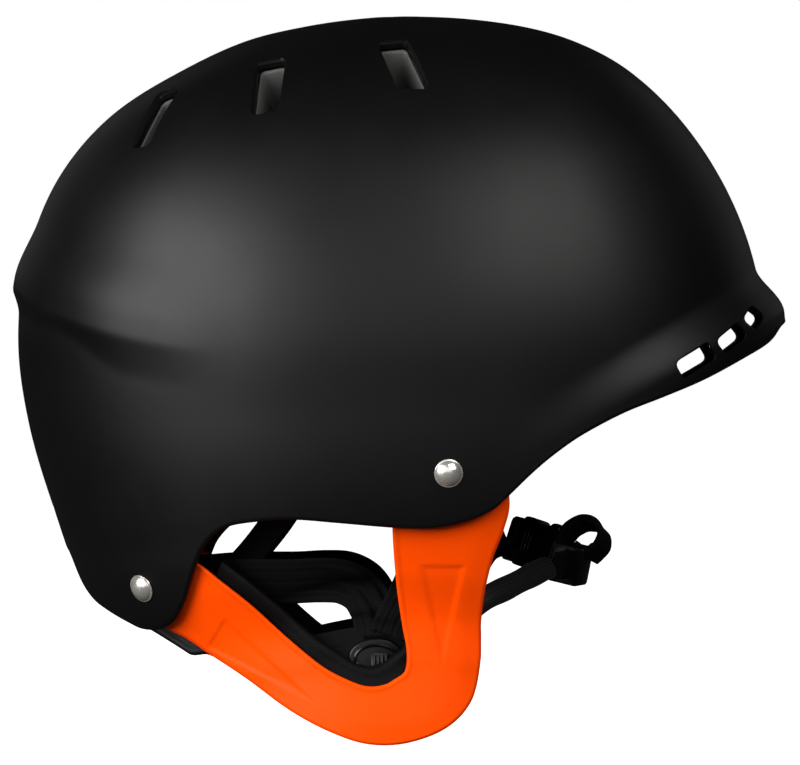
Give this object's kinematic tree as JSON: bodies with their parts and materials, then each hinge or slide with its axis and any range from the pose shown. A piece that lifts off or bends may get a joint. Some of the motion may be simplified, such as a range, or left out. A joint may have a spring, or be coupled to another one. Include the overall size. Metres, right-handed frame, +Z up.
{
  "type": "water helmet",
  "caption": "Hard-shell water helmet with vented shell, short slotted brim, orange ear guards, webbing harness with chin buckle, and a nape cradle drawn in by a size dial.",
  "frame": {"origin": "the point where the crown of the head meets the flat underside of the crown pad", "axes": "+X forward, the way the wearer looks; +Y to the wearer's left; +Z up"},
  "size_m": [0.2902, 0.2156, 0.2709],
  "materials": {
    "outer_shell": "matte black",
    "foam_liner": "moulded foam skin",
    "pads": "black lining cloth",
    "guards": "satin orange",
    "guard_foam": "closed-cell foam",
    "nickel": "polished nickel",
    "webbing": "woven ribbed webbing",
    "hard_black": "satin black"
  },
  "bodies": {
    "helmet": {"outer_shell": "outer_shell", "foam_liner": "foam_liner", "brow_pad": "pads", "crown_pad": "pads", "side_pad_left": "pads", "side_pad_right": "pads", "rear_pad": "pads", "ear_guard_left": "guards", "ear_guard_right": "guards", "ear_foam_left": "guard_foam", "ear_foam_right": "guard_foam", "front_rivet_left": "nickel", "front_rivet_right": "nickel", "front_washer_left": "nickel", "front_washer_right": "nickel", "rear_rivet_left": "nickel", "rear_rivet_right": "nickel", "rear_washer_left": "nickel", "rear_washer_right": "nickel", "front_strap_left": "webbing", "front_strap_right": "webbing", "rear_strap_left": "webbing", "rear_strap_right": "webbing", "strap_divider_left": "hard_black", "strap_divider_right": "hard_black", "cradle_arm_left": "hard_black", "cradle_arm_right": "hard_black"},
    "cradle": {"nape_cradle": "hard_black", "nape_pad": "pads", "dial_cover": "hard_black"},
    "dial": {"size_dial": "hard_black"},
    "chin_harness": {"chin_strap_left": "webbing", "chin_strap_right": "webbing", "chin_webbing": "webbing", "buckle_socket": "hard_black"},
    "plug": {"buckle_plug": "hard_black"},
    "adjuster": {"chin_adjuster": "hard_black", "strap_tail": "webbing"}
  },
  "joints": [
    {"name": "cradle_slide", "type": "slide", "parent": "helmet", "child": "cradle", "axis": [1, 0, 0], "range_m": [0, 0.01], "deforming": ["cradle_arm_left", "cradle_arm_right"]},
    {"name": "dial_turn", "type": "hinge", "parent": "cradle", "child": "dial", "pos_m": [-0.1244, 0, -0.164], "axis": [-0.9397, 0, -0.342], "range_deg": [0, 270]},
    {"name": "chin_swing", "type": "hinge", "parent": "helmet", "child": "chin_harness", "pos_m": [-0.008, 0, -0.208], "axis": [0, 1, 0], "range_deg": [-15, 75]},
    {"name": "buckle_release", "type": "slide", "parent": "chin_harness", "child": "plug", "axis": [-0.5569, 0.8201, 0.1316], "range_m": [0, 0.02], "deforming": ["chin_strap_left"]},
    {"name": "adjuster_slide", "type": "slide", "parent": "chin_harness", "child": "adjuster", "axis": [0.3443, 0.9382, 0.0349], "range_m": [-0.006, 0.004]}
  ],
  "couplings": [
    {"joint": "dial_turn", "follows": "cradle_slide", "rad_per_m": 471.2}
  ]
}
